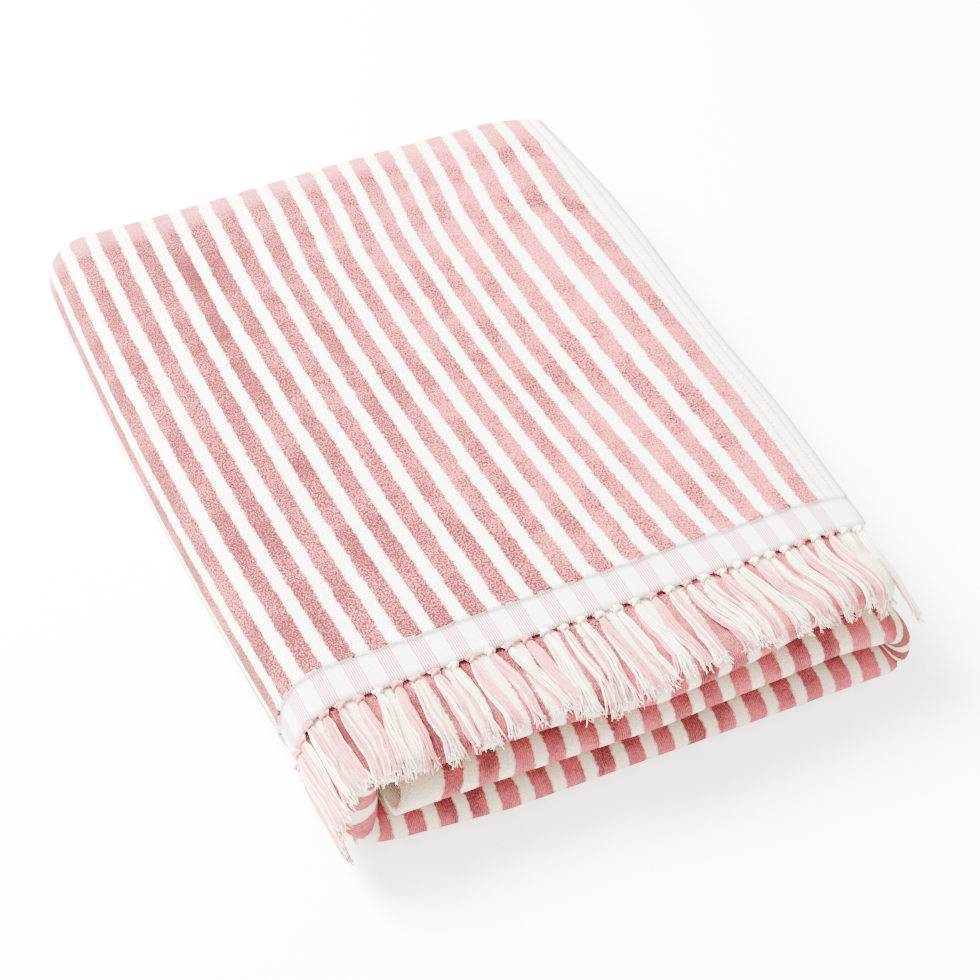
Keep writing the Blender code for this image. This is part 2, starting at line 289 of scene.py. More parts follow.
def slipped(across, along, rise):
    """How far a layer of the loose end inside has slipped to the left."""
    near_end = smooth((across - CLOTH_WIDTH) / SLIP_ACROSS + 1.0)
    near_front = 1.0 - smooth((along - SLIP_START) / SLIP_RUN)
    depth = np.clip((SLIP_RISE - rise) / SLIP_SPREAD, -0.4, 1.0)
    return SLIP * near_end * near_front * depth


print("the loose end has slipped by up to", round(1000 * SLIP, 1), "mm")

# %% [markdown]
# ## Soft creases in the top
#
# Where a towel has been folded and stroked flat, its top keeps shallow troughs and low swells. They
# are modelled, not painted, so they show from every side. Each one is a soft line with a width and a
# depth, listed one by one. It raises or lowers the whole pile by a share of its height, so the layers
# keep their order and the bottom one stays on the floor.

# %% Creases of the pile
# Their dips also get painted shade, a deeper pink, in the terry finish.
CREASES = (
    # from x, from y, to x, to y, half width, depth in mm
    (-0.078, 0.202, -0.096, 0.076, 0.011, -2.4),
    (0.098, 0.156, 0.158, 0.119, 0.008, -2.0),
    (0.110, 0.189, 0.160, 0.194, 0.008, -1.5),
    (0.118, 0.095, 0.154, 0.085, 0.008, -1.3),
    (-0.150, 0.030, -0.010, -0.040, 0.022, 1.1),
    (0.020, 0.060, 0.100, -0.060, 0.020, -1.2),
    (-0.060, -0.120, 0.050, -0.060, 0.024, 0.9),
    (-0.020, 0.190, 0.030, 0.110, 0.018, 1.2),
)


def creased(x, y):
    """Height that the creases add to the top of the packet, in metres."""
    height = np.zeros_like(x)
    for x0, y0, x1, y1, half_width, depth in CREASES:
        run = np.array([x1 - x0, y1 - y0])
        share = np.clip(((x - x0) * run[0] + (y - y0) * run[1]) / (run @ run), 0.0, 1.0)
        away = np.hypot(x - x0 - share * run[0], y - y0 - share * run[1])
        ends = 0.35 + 0.65 * np.sin(math.pi * np.clip(share, 0.06, 0.94))
        height += 0.001 * depth * ends * np.exp(-((away / half_width) ** 2))
    return height


print(len(CREASES), "creases, the deepest", min(crease[5] for crease in CREASES), "mm")

# %% [markdown]
# One function brings all of this together. It is given how far a point lies across the cloth, how far
# along the packet and how high among its four layers, and returns its place in the world. The pile is
# lower at its left side, its top waves a little, and its back edge runs slightly askew.

# %% Place of any point of the cloth
LEFT_LOOSE = 0.40 * STRIPE
PIVOT_X = -7.0 * STRIPE
TILT = math.tan(math.radians(1.6))
WAVE = 0.010
WAVE_X = 0.034
WAVE_ALONG = 0.051
BACK_SKEW = 0.0055
SKEW_FROM_X = 0.10
SKEW_WIDTH = 0.26
SKEW_START = 14.0 * STRIPE
SKEW_RUN = 8.0 * STRIPE


def place(across, along, rise):
    """World place of points of the folded cloth, as an array with x, y and z last."""
    across, along, rise = np.broadcast_arrays(across, along, rise)
    line = {name: np.interp(across, LINE["across"], LINE[name]) for name in LINE}
    heading = line["heading"]
    out = np.radians(heading - 90.0)
    half_way = np.clip((heading - 225.0) / 90.0, 0.0, 1.0)
    loose = LEFT_LOOSE * np.sin(math.pi * half_way) ** 2 * np.maximum(1.0 - rise / (2.0 * LAYER), 0.0)
    reach = (rise - loose) * line["swell"]
    drawn = drawn_in(across, along) - stands_out(across, along)
    past_hem = np.minimum(across, 0.0)
    x = line["x"] + reach * np.cos(out) - drawn - slipped(across, along, rise)
    x = x + past_hem * np.cos(np.radians(heading))
    z = line["z"] + reach * np.sin(out) + past_hem * np.sin(np.radians(heading))
    z = z + drawn * np.tan(np.radians(np.maximum(180.0 - heading, 0.0)))
    x = x - bow(x, along) + reaches_out(across, along)
    tilt = TILT * (x - PIVOT_X) / TOP_HEIGHT
    wave = WAVE * np.sin(x / WAVE_X + 1.0) * np.sin(along / WAVE_ALONG)
    askew = np.clip((x + SKEW_FROM_X) / SKEW_WIDTH, -0.3, 1.0)
    skew = askew * smooth((along - SKEW_START) / SKEW_RUN)
    x_placed, y_placed = x + ORIGIN[0], along + ORIGIN[1] + BACK_SKEW * skew
    crease = creased(x_placed, y_placed) / TOP_HEIGHT
    z = z + np.maximum(z - PILE, 0.0) * (tilt + wave + crease)
    return np.stack([x_placed, y_placed, z], axis=-1)


corner = place(0.0, 0.0, 3.5 * LAYER)
print("the hem's front corner is at", np.round(corner, 3))

# %% [markdown]
# ## The cloth
#
# The whole towel is one sheet. A grid is the natural start: its rows follow the towel's length and
# its columns go across. Every vertex is then sent to its place in the folds, with rows close together
# where the cloth turns. Simulating the folding would take minutes and never land where the photograph
# has it, so the fold is given.

# %% Rows along the cloth
BACK_FOLD = 22.4 * STRIPE
FRONT_DEPTH = 0.75 * STRIPE
FRONT_CREST = 2.85 * LAYER
HIDDEN_END = 3.5 * STRIPE
EDGE_STEP = 0.0006
LIP_LENGTH = 0.0030
LIP_RISE = 0.0002
TOP_START = 0.0045


def arc(along, rise, depth, height, first, last, points):
    """Points of an elliptic arc, its angles in degrees from straight back."""
    turns = np.radians(np.linspace(first, last, points))
    return np.stack([along + depth * np.cos(turns), rise + height * np.sin(turns)], axis=-1)


def level(first, last, rise, points):
    """Points of a straight run at one rise, without its last point."""
    along = np.linspace(first, last, points, endpoint=False)
    return np.stack([along, np.full_like(along, rise)], axis=-1)


def front_arc(front):
    """Centre, middle, depth and height of the front fold, for its foremost place."""
    low, high = 0.5 * LAYER, FRONT_CREST
    return front + PILE / 2 + FRONT_DEPTH, (low + high) / 2, FRONT_DEPTH, (high - low) / 2


def section(front, end, bulge):
    """One column of the cloth: each stretch's points, from the end that shows to the hidden one."""
    edge = end + BORDER_LENGTH - bulge
    crest_along = np.linspace(-0.9 * STRIPE, 1.6 * STRIPE, 13, endpoint=False)
    fall = smooth((crest_along + 0.25 * STRIPE) / (1.85 * STRIPE))
    crest = np.stack([crest_along, FRONT_CREST + (1.5 * LAYER - FRONT_CREST) * fall], axis=-1)
    hidden = HIDDEN_END + end
    tail = level(hidden + BORDER_LENGTH - EDGE_STEP, hidden, 2.5 * LAYER, 3)
    return {
        "border": level(end, edge - EDGE_STEP, 3.5 * LAYER, 6),
        "edge": np.array([[edge - EDGE_STEP, 3.5 * LAYER]]),
        "lip": level(edge, edge + LIP_LENGTH, 3.5 * LAYER + LIP_RISE, 3),
        "top": level(edge + TOP_START, BACK_FOLD, 3.5 * LAYER, 50),
        "back": arc(BACK_FOLD, 2 * LAYER, 1.5 * LAYER, 1.5 * LAYER, 90, -90, 15)[:-1],
        "under": level(BACK_FOLD, 0.2 * STRIPE, 0.5 * LAYER, 22),
        "near front": level(0.2 * STRIPE, front_arc(front)[0], 0.5 * LAYER, 3),
        "front": arc(*front_arc(front), -90, -270, 19),
        "crest": crest,
        "third": level(1.6 * STRIPE, BACK_FOLD, 1.5 * LAYER, 14),
        "inner back": arc(BACK_FOLD, 2 * LAYER, 0.5 * LAYER, 0.5 * LAYER, -90, 90, 7)[:-1],
        "second": level(BACK_FOLD, hidden + BORDER_LENGTH, 2.5 * LAYER, 12),
        "tail": np.vstack([tail, [[hidden, 2.5 * LAYER]]]),
    }


sample = section(-2.5 * STRIPE, 0.0, 0.0)
ROW_NAMES = np.concatenate([[name] * len(points) for name, points in sample.items()])
ROWS = len(ROW_NAMES)
print("each column of the cloth has", ROWS, "rows")

# %% [markdown]
# Across the cloth the columns are close together at the side hems, round the left side and round the
# right fold, and further apart on the flats.

# %% Columns across the cloth
COLUMNS = (
    # first, last, step, in stripes
    (0.03, 0.74, 0.17),
    (0.84, 15.2, 0.20),
    (15.2, 26.4, 0.18),
    (26.4, 37.0, 0.44),
    (37.0, 42.4, 0.17),
    (42.4, 55.2, 0.36),
)
LAST_COLUMNS = (0.84, 0.74, 0.40, 0.03)


def columns():
    """Places of the columns, in metres from the side hem that shows."""
    places = []
    for first, last, step in COLUMNS:
        count = max(2, round((last - first) / step))
        places += list(STRIPE * np.linspace(first, last, count, endpoint=first < 0.1))
    hem = CLOTH_WIDTH / STRIPE
    return np.array(places + [STRIPE * (hem - away) for away in LAST_COLUMNS])


PLACES = columns()
EDGE_WAVE = 0.0005
EDGE_DRIFT = 0.0004
EDGE_DRIFT_RUN = 0.0097
fronts = read_table(FRONT, PLACES, 1)
ends = read_table(FRONT, PLACES, 2)
bulges = EDGE_WAVE * np.cos(2.0 * math.pi * (PLACES / STRIPE - 1.55))
bulges = bulges + EDGE_DRIFT * np.sin(PLACES / EDGE_DRIFT_RUN)
sections = [np.vstack(list(section(*shape).values())) for shape in zip(fronts, ends, bulges)]
SHEET = np.array(sections)
print("the cloth has", len(PLACES), "columns of", ROWS, "rows")

# %% [markdown]
# A grid is added, and each of its vertices is told apart by its column and row before it moves.

# %% Lay the cloth in its folds
bpy.ops.object.select_all(action="DESELECT")
bpy.ops.mesh.primitive_grid_add(x_subdivisions=ROWS - 1, y_subdivisions=len(PLACES) - 1, size=1.0)
cloth = bpy.context.object
cloth.name = "terry_cloth"
flat_grid = np.empty(3 * len(cloth.data.vertices))
cloth.data.vertices.foreach_get("co", flat_grid)
flat_grid = flat_grid.reshape(-1, 3)
row_of = np.rint((flat_grid[:, 0] + 0.5) * (ROWS - 1)).astype(int)
column_of = np.rint((flat_grid[:, 1] + 0.5) * (len(PLACES) - 1)).astype(int)
across = PLACES[column_of]
along, rise = SHEET[column_of, row_of].T
laid = place(across, along, rise)
cloth.data.vertices.foreach_set("co", laid.ravel())
cloth.data.update()
print("laid", len(laid), "points of cloth, up to", round(float(laid[:, 2].max()), 4), "m")

# %% [markdown]
# The dips of the creases get a deeper pink, which is painted shade, most on the slopes that face the
# front, away from the lamp. Each point keeps how deep it lies and how steep it is there, for the finish
# to read later.

# %% Mark the painted shade of the dips
TOP_ACROSS = 15.5 * STRIPE
FULL_DIP = 0.0022
SLOPE_STEP = 0.003
SLOPE_SHARE = 2.4
on_top = (ROW_NAMES[row_of] == "top") & (across < TOP_ACROSS)
x_laid, y_laid = laid[:, 0], laid[:, 1]
sunk = np.clip(-creased(x_laid, y_laid) / FULL_DIP, 0.0, 1.0)
climbed = creased(x_laid, y_laid + SLOPE_STEP) - creased(x_laid, y_laid - SLOPE_STEP)
sloped = np.clip(SLOPE_SHARE * climbed / (2.0 * SLOPE_STEP), -0.5, 0.5)
# Painted shade: how deep the pink goes in the dips and on the slopes that face the front.
painted_crease_shade = cloth.data.attributes.new("painted_crease_shade", "FLOAT", "POINT")
painted_crease_shade.data.foreach_set("value", (0.5 * sunk + sloped) * on_top)
print("dips reach", round(float((0.5 * sunk + sloped)[on_top].max()), 2), "of the deepest pink")

# %% [markdown]
# ## Where the stripes run
#
# The stripes were woven along the length, so on an even fold they would follow the columns. Inside
# this packet the layers have slipped sideways past each other, and the stripes of the front fold sit
# beside those of the top. The slip is read off as a lag in stripes. It grows along the hidden bottom
# layer, and is kept round the front fold and inside. Near the back the top's own stripes drift by a
# quarter of a stripe, and where the right fold reaches out its stripes go with it.

# %% Stripe count and length, as the cloth's own map
LAG = (
    # across, lag, in stripes
    (0.0, 0.0),
    (17.0, 0.0),
    (20.0, 1.0),
    (22.3, 1.93),
    (24.0, 1.80),
    (26.0, 1.55),
    (29.0, 1.53),
    (31.0, 1.37),
    (34.0, 1.38),
    (37.0, 1.18),
    (40.6, 0.85),
    (41.5, 0.72),
    (45.0, 0.72),
    (48.0, 0.66),
    (50.5, 0.59),
    (51.8, 0.54),
    (52.8, 0.41),
    (54.0, 0.42),
    (56.8, 0.40),
)
BACK_SHIFT = 0.25
MAP_WIDTH = 57.0
MAP_LENGTH = 1.8
share_of_row = np.ones(ROWS)
for name in ("border", "edge", "lip", "top", "back"):
    share_of_row[ROW_NAMES == name] = 0.0
under = ROW_NAMES == "under"
share_of_row[under] = np.linspace(0.0, 1.0, under.sum())
fade_of_row = 1.0 - share_of_row
counted = across / STRIPE
lag = np.interp(counted, [row[0] for row in LAG], [row[1] for row in LAG])
towards_back = smooth((along / STRIPE - 17.0) / 4.5) * smooth((14.5 - counted) / 5.0)
shift = BACK_SHIFT * towards_back * fade_of_row[row_of]
extra = reaches_out(across, along) / STRIPE * np.interp(counted, [37.2, 40.6], [1.0, -1.0])
stripe_count = counted + 0.10 - lag * share_of_row[row_of] + shift + extra
steps = np.hypot(*np.moveaxis(np.diff(SHEET, axis=1), -1, 0))
lengths = np.concatenate([np.zeros((len(PLACES), 1)), np.cumsum(steps, axis=1)], axis=1)
length_along = lengths[column_of, row_of]

# %% [markdown]
# The cloth's own map holds, for each corner of a face, how many stripes across it lies and how far
# along, each as a share, so that a finish can find the bands again on the folded cloth.

# %% Write the map
corner_vertex = np.empty(len(cloth.data.loops), dtype=np.int32)
cloth.data.loops.foreach_get("vertex_index", corner_vertex)
while cloth.data.uv_layers:
    cloth.data.uv_layers.remove(cloth.data.uv_layers[0])
cloth_map = cloth.data.uv_layers.new(name="cloth")
spots = np.stack([stripe_count / MAP_WIDTH, length_along / MAP_LENGTH], axis=-1)
cloth_map.uv.foreach_set("vector", spots[corner_vertex].ravel())
print("stripes counted from", round(stripe_count.min(), 2), "to", round(stripe_count.max(), 2))

# %% [markdown]
# ## Thickness
#
# Terry stands about 3.4 mm thick with its loops. The border is woven flat and is thinner, so the
# terry's edge stands up beside it, and the turned side hems are thicker. Solidify gives the sheet its
# thickness, and a vertex group says how much of it each part of the cloth has.

# %% Solidify the cloth
HEMMED_BORDER = 0.0034
thin = np.isin(ROW_NAMES[row_of], ("border", "edge", "tail"))
in_hem = np.minimum(across, CLOTH_WIDTH - across) < HEM_WIDTH
thickness = np.where(thin, BORDER, PILE)
thickness[ROW_NAMES[row_of] == "lip"] = HEM
thickness[in_hem] = HEM
thickness[in_hem & thin] = HEMMED_BORDER
group = cloth.vertex_groups.new(name="thickness")
for value in np.unique(thickness):
    group.add(np.nonzero(thickness == value)[0].tolist(), value / HEM, "REPLACE")
solidify = cloth.modifiers.new("thickness", "SOLIDIFY")
solidify.thickness = HEM
solidify.offset = 0.0
solidify.use_even_offset = True
solidify.vertex_group = group.name
bpy.context.view_layer.objects.active = cloth
bpy.ops.object.modifier_apply(modifier=solidify.name)
cloth.vertex_groups.clear()
for vertex in cloth.data.vertices:
    vertex.co.z = max(vertex.co.z, 0.0)
bpy.ops.object.shade_smooth()
print("the cloth has", len(cloth.data.polygons), "faces")

# %% [markdown]
# ## Finishes
#
# Each finish is built of nodes. A few helpers keep the building short. One adds a node and fills its
# inputs. The others add a sum, a mix of two colours, a soft random pattern, a stretch of values mapped
# onto another, or a fine relief.

# %% Helpers for finishes
def new_finish(name):
    """An empty finish with its surface shader; returns the finish, its nodes and the shader."""
    finish = bpy.data.materials.new(name)
    finish.use_nodes = True
    tree = finish.node_tree
    return finish, tree, tree.nodes["Principled BSDF"]


def add_node(tree, kind, inputs=(), **settings):
    """Add a node, set what it is told, and join or fill its inputs."""
    made = tree.nodes.new(kind)
    for name, value in settings.items():
        setattr(made, name, value)
    for key, value in dict(inputs).items():
        if isinstance(value, bpy.types.NodeSocket):
            tree.links.new(value, made.inputs[key])
        else:
            made.inputs[key].default_value = value
    return made


def sum_of(tree, operation, first, second=0.0, third=0.0):
    """A Math node on up to three values."""
    values = {0: first, 1: second, 2: third}
    return add_node(tree, "ShaderNodeMath", values, operation=operation).outputs[0]


def mix_colours(tree, share, first, second):
    """Mix two colours by a share."""
    made = add_node(tree, "ShaderNodeMix", {"Factor": share}, data_type="RGBA")
    for key, value in (("A", first), ("B", second)):
        socket = [one for one in made.inputs if one.name == key and one.type == "RGBA"][0]
        if isinstance(value, bpy.types.NodeSocket):
            tree.links.new(value, socket)
        else:
            socket.default_value = value
    return [one for one in made.outputs if one.type == "RGBA"][0]


print("helpers for colours and sums ready")

# %% [markdown]
# Real cloth is never quite even. A soft random pattern varies its colour, a range turns a measure
# into a share, and a relief stands for what is too fine to model. The cloth's own map tells a finish
# where on the cloth it is.

# %% Helpers for patterns and relief
def noise_of(tree, place_on, scale, detail=2.0, roughness=0.5):
    """A soft random pattern, with values from 0 to 1."""
    inputs = {"Vector": place_on, "Scale": scale, "Detail": detail, "Roughness": roughness}
    return add_node(tree, "ShaderNodeTexNoise", inputs).outputs["Fac"]


def range_of(tree, value, start, stop, low=0.0, high=1.0):
    """Map a stretch of values, from start to stop, onto low to high."""
    inputs = {"Value": value, "From Min": start, "From Max": stop, "To Min": low, "To Max": high}
    return add_node(tree, "ShaderNodeMapRange", inputs).outputs[0]


def relief_of(tree, height, strength, distance):
    """A fine relief, so many metres high."""
    inputs = {"Height": height, "Strength": strength, "Distance": distance}
    return add_node(tree, "ShaderNodeBump", inputs).outputs[0]


def set_surface(shader, values):
    """Set what is the same all over the surface."""
    for name, value in values.items():
        shader.inputs[name].default_value = value


def cloth_places(tree):
    """From the cloth's own map: the stripe count, the length in metres, and the place in metres."""
    cloth_uv = add_node(tree, "ShaderNodeUVMap", uv_map="cloth").outputs[0]
    parts = add_node(tree, "ShaderNodeSeparateXYZ", {0: cloth_uv})
    count = sum_of(tree, "MULTIPLY", parts.outputs[0], MAP_WIDTH)
    length = sum_of(tree, "MULTIPLY", parts.outputs[1], MAP_LENGTH)
    size = (MAP_WIDTH * STRIPE, MAP_LENGTH, 1.0)
    metric = add_node(tree, "ShaderNodeMapping", {"Vector": cloth_uv, "Scale": size}).outputs[0]
    return count, length, metric


print("helpers for patterns and relief ready")

# %% [markdown]
# ## Terry
#
# The face of the towel is cut loops, which read as a fine speckle in rows that follow the stripes.
# The pink bands start 1.3 stripes in from each side hem and are a little over half a stripe wide. Their
# edges are ragged, because a loop is either pink or white. The cloth's own map gives the stripe count
# one way and the length the other, so the bands turn with the folds.

# %% Terry finish: where the bands are
SIDE_BORDER = 1.30
LAST_BAND = 54.9
HALF_BAND = 0.30
EDGE_BLUR = 0.035
LOOP_STRAY = 0.16
BAND_STRAY = 0.12

terry, tree, shader = new_finish("terry")
true_count, length, metric = cloth_places(tree)
ragged = sum_of(tree, "SUBTRACT", noise_of(tree, metric, 480.0), 0.5)
wander = sum_of(tree, "SUBTRACT", noise_of(tree, metric, 75.0, 1.0), 0.5)
count = sum_of(tree, "MULTIPLY_ADD", ragged, LOOP_STRAY, true_count)
count = sum_of(tree, "MULTIPLY_ADD", wander, BAND_STRAY, count)
from_middle = sum_of(tree, "SUBTRACT", count, SIDE_BORDER + 0.25)
away = sum_of(tree, "PINGPONG", from_middle, 0.5)
banded = range_of(tree, away, HALF_BAND + EDGE_BLUR, HALF_BAND - EDGE_BLUR)
past_first = sum_of(tree, "GREATER_THAN", from_middle, -0.4)
before_last = sum_of(tree, "LESS_THAN", count, LAST_BAND + 0.1)
band = sum_of(tree, "MULTIPLY", banded, sum_of(tree, "MULTIPLY", past_first, before_last))
print("pink bands from", SIDE_BORDER, "to", LAST_BAND, "stripes across")

# %% [markdown]
# The loops are cells of about a millimetre, stretched a little along the cloth, with dark pits
# between them. On the opened pile of the front fold, the rows of loops show as fine ribs.

# %% Terry finish: loops and pits
RIBS = 16
LOOPS = 1050.0
loop_size = (LOOPS, 0.68 * LOOPS, 1.0)
stretched = add_node(tree, "ShaderNodeMapping", {"Vector": metric, "Scale": loop_size}).outputs[0]
loops = add_node(
    tree,
    "ShaderNodeTexVoronoi",
    {"Vector": stretched, "Scale": 1.0, "Randomness": 0.9},
    voronoi_dimensions="2D",
)
pit = sum_of(tree, "POWER", loops.outputs["Distance"], 1.5)
flecks = noise_of(tree, metric, 1150.0)
rib_wave = sum_of(tree, "SINE", sum_of(tree, "MULTIPLY", true_count, RIBS * 2 * math.pi))
ribbed = sum_of(tree, "MULTIPLY_ADD", rib_wave, -0.03, pit)
speckle = range_of(tree, sum_of(tree, "MULTIPLY_ADD", flecks, 1.8, ribbed), 1.00, 1.34)
print("loops are about", round(1000 / LOOPS, 1), "mm wide")

# %% [markdown]
# Broader patches, a few centimetres across, are deeper pink where the pile has been stroked the other
# way. The dips of the creases get a deeper pink too, which is painted shade. More painted shade
# deepens the pink from 5 to 14 stripes across, towards the left of the top, and fully beyond. Round the
# front fold the pile is opened, so its speckle is weaker, and painted shade deepens its pink along its
# ribs. Under the fringe, high on that fold, more painted shade makes the pink deeper still.

# %% Terry finish: how deep the pink is
FOLD_MIDDLE = float(lengths[:, ROW_NAMES == "front"].mean())
patches = noise_of(tree, metric, 28.0, 3.0, 0.7)
patch_share = range_of(tree, patches, 0.38, 0.62, -0.06, 0.32)
# Painted shade: deeper pink from 5 to 14 stripes across, towards the left of the top.
shade_towards_left = range_of(tree, true_count, 5.0, 14.0, 0.0, 0.34)
from_fold = sum_of(tree, "ABSOLUTE", sum_of(tree, "SUBTRACT", length, FOLD_MIDDLE))
# The front fold: its pile is opened, in the relief, and it takes painted shade in its colour.
opened_and_fold_shade = range_of(tree, from_fold, 0.075, 0.035)
# Painted shade of the creases, as marked on the cloth.
crease_shade_share = add_node(tree, "ShaderNodeAttribute", attribute_name="painted_crease_shade").outputs["Fac"]
place_on = add_node(tree, "ShaderNodeTexCoord").outputs["Object"]
up_the_pile = add_node(tree, "ShaderNodeSeparateXYZ", {0: place_on}).outputs[2]
# Painted shade under the fringe, high on the front fold.
shade_under_fringe = range_of(tree, up_the_pile, 0.038, 0.049, 0.0, 0.30)
# Painted shade on the front fold, in rows along its ribs.
rib_shade = sum_of(tree, "MULTIPLY_ADD", rib_wave, -0.09, 0.05)
deepened = sum_of(tree, "MULTIPLY_ADD", crease_shade_share, 0.50, sum_of(tree, "ADD", patch_share, shade_towards_left))
deepened = sum_of(tree, "MULTIPLY_ADD", opened_and_fold_shade, rib_shade, deepened)
deepened = sum_of(tree, "MULTIPLY_ADD", opened_and_fold_shade, shade_under_fringe, deepened)
speckle_depth = sum_of(tree, "MULTIPLY_ADD", opened_and_fold_shade, -0.52, 0.70)
pink_share = sum_of(tree, "MULTIPLY_ADD", speckle, speckle_depth, deepened)
print("the front fold lies", round(FOLD_MIDDLE, 3), "m along the cloth")

# %% [markdown]
# The white is a warm cotton white, with darker pits. On the front fold it turns creamier, which is
# painted warm shade. Where the cloth bends at the back, the pink is a little paler, which is a painted
# highlight.

# %% Terry finish: its colours
WHITE = (0.905, 0.85, 0.715, 1.0)
WHITE_PIT = (0.54, 0.42, 0.29, 1.0)
# Painted warm shade for the white of the front fold.
WHITE_FOLD_SHADE = (0.66, 0.48, 0.345, 1.0)
PINK = (0.60, 0.118, 0.140, 1.0)
PINK_DEEP = (0.062, 0.009, 0.012, 1.0)
# Painted highlight along the back fold.
PINK_BACK_HIGHLIGHT = (0.76, 0.26, 0.28, 1.0)
BACK_MIDDLE = float(lengths[:, ROW_NAMES == "top"][:, -1].mean()) + 0.75 * math.pi * LAYER
from_back = sum_of(tree, "ABSOLUTE", sum_of(tree, "SUBTRACT", length, BACK_MIDDLE))
# How much painted highlight, near the back fold.
back_highlight = range_of(tree, from_back, 0.0165, 0.0045, 0.0, 0.27)
pink = mix_colours(tree, back_highlight, mix_colours(tree, pink_share, PINK, PINK_DEEP), PINK_BACK_HIGHLIGHT)
# Painted warm shade on the front fold.
shaded_fold_white = mix_colours(tree, sum_of(tree, "MULTIPLY", opened_and_fold_shade, 0.75), WHITE, WHITE_FOLD_SHADE)
white = mix_colours(tree, sum_of(tree, "MULTIPLY", speckle, 0.42), shaded_fold_white, WHITE_PIT)
face_colour = mix_colours(tree, band, white, pink)
print("the back fold lies", round(BACK_MIDDLE, 3), "m along the cloth")

# %% [markdown]
# The side hems are turned in and sewn down. Their stitches press a fine groove into the white terry,
# and painted shade darkens the grooves.

# %% Terry finish: hem stitches and relief
STITCH_LINES = (0.92, 0.50)
STITCH = 0.0032
from_lines = [
    sum_of(tree, "ABSOLUTE", sum_of(tree, "SUBTRACT", true_count, line)) for line in STITCH_LINES
]
groove = range_of(tree, sum_of(tree, "MINIMUM", *from_lines), 0.09, 0.03)
stitch_wave = sum_of(tree, "SINE", sum_of(tree, "MULTIPLY", length, 2 * math.pi / STITCH))
stitched = sum_of(tree, "MULTIPLY", groove, sum_of(tree, "MULTIPLY_ADD", stitch_wave, 0.3, 0.7))
# Painted shade in the stitch grooves.
colour_with_groove_shade = mix_colours(tree, sum_of(tree, "MULTIPLY", stitched, 0.75), face_colour, WHITE_PIT)
tree.links.new(colour_with_groove_shade, shader.inputs["Base Color"])
rib_height = sum_of(tree, "MULTIPLY", rib_wave, sum_of(tree, "MULTIPLY_ADD", opened_and_fold_shade, 0.36, 0.10))
height = sum_of(tree, "MULTIPLY_ADD", speckle, -1.0, rib_height)
height = sum_of(tree, "MULTIPLY_ADD", stitched, -1.3, height)
height = sum_of(tree, "MULTIPLY", height, sum_of(tree, "MULTIPLY_ADD", opened_and_fold_shade, -0.60, 1.0))
tree.links.new(relief_of(tree, height, 0.6, 0.0012), shader.inputs["Normal"])
TERRY_SURFACE = {
    "Roughness": 0.95,
    "Specular IOR Level": 0.06,
    "Sheen Weight": 0.03,
    "Sheen Roughness": 0.55,
    "Sheen Tint": (1.0, 0.93, 0.92, 1.0),
}
set_surface(shader, TERRY_SURFACE)
print("terry finish has", len(tree.nodes), "nodes")

# %% [markdown]
# ## Flat woven border
#
# The border is a plain weave in white. Under each pink band, single pink warp threads run through it
# to the fringe, seven to a band, so it looks pale pink from a distance. Its yarns have small thick
# places, and it lies in the shade of the terry's edge.

# %% Border finish: its threads
BORDER_WHITE = (0.78, 0.75, 0.70, 1.0)
BORDER_PINK = (0.46, 0.12, 0.145, 1.0)
BORDER_SLUB = (0.50, 0.45, 0.41, 1.0)
BORDER_SHADE = (0.36, 0.32, 0.29, 1.0)
THREADS = 7

border_finish, tree, shader = new_finish("woven_border")
count, length, metric = cloth_places(tree)
wander = sum_of(tree, "SUBTRACT", noise_of(tree, metric, 240.0), 0.5)
count = sum_of(tree, "MULTIPLY_ADD", wander, 0.03, count)
from_side = sum_of(tree, "SUBTRACT", count, SIDE_BORDER)
in_stripe = sum_of(tree, "FRACT", from_side)
thread_wave = sum_of(tree, "FRACT", sum_of(tree, "MULTIPLY", in_stripe, 2.0 * THREADS))
threads = sum_of(tree, "LESS_THAN", thread_wave, 0.60)
banded = sum_of(tree, "LESS_THAN", in_stripe, 0.5)
past_first = sum_of(tree, "GREATER_THAN", from_side, -0.02)
before_last = sum_of(tree, "LESS_THAN", count, LAST_BAND)
inside = sum_of(tree, "MULTIPLY", past_first, before_last)
pink_thread = sum_of(tree, "MULTIPLY", sum_of(tree, "MULTIPLY", threads, banded), inside)
print(THREADS, "pink threads to a band")

# %% [markdown]
# The pink threads are mixed into the white, and then the thick places and the shade. The weave is one
# wave across times one wave along, much as threads pass over and under each other. It is too fine for
# anything but a relief.

# %% Border finish: colour and weave
EDGE_SHADE = 0.0030
WARP = 28
WEFT = 0.0011
border_colour = mix_colours(tree, pink_thread, BORDER_WHITE, BORDER_PINK)
slub_share = range_of(tree, noise_of(tree, metric, 700.0), 0.45, 0.75, 0.0, 0.45)
border_colour = mix_colours(tree, slub_share, border_colour, BORDER_SLUB)
by_terry = range_of(tree, length, BORDER_LENGTH - EDGE_SHADE, BORDER_LENGTH - EDGE_STEP, 0.0, 0.5)
border_colour = mix_colours(tree, by_terry, border_colour, BORDER_SHADE)
tree.links.new(border_colour, shader.inputs["Base Color"])
warp = sum_of(tree, "SINE", sum_of(tree, "MULTIPLY", count, WARP * 2 * math.pi))
weft = sum_of(tree, "SINE", sum_of(tree, "MULTIPLY", length, 2 * math.pi / WEFT))
weave = sum_of(tree, "MULTIPLY", warp, weft)
tree.links.new(relief_of(tree, weave, 0.6, 0.0004), shader.inputs["Normal"])
set_surface(shader, {"Roughness": 0.85, "Specular IOR Level": 0.2, "Sheen Weight": 0.15})
print("border finish has", len(tree.nodes), "nodes")

# %% [markdown]
# The cloth takes both finishes: the border's faces, at both ends, are told apart by the map.

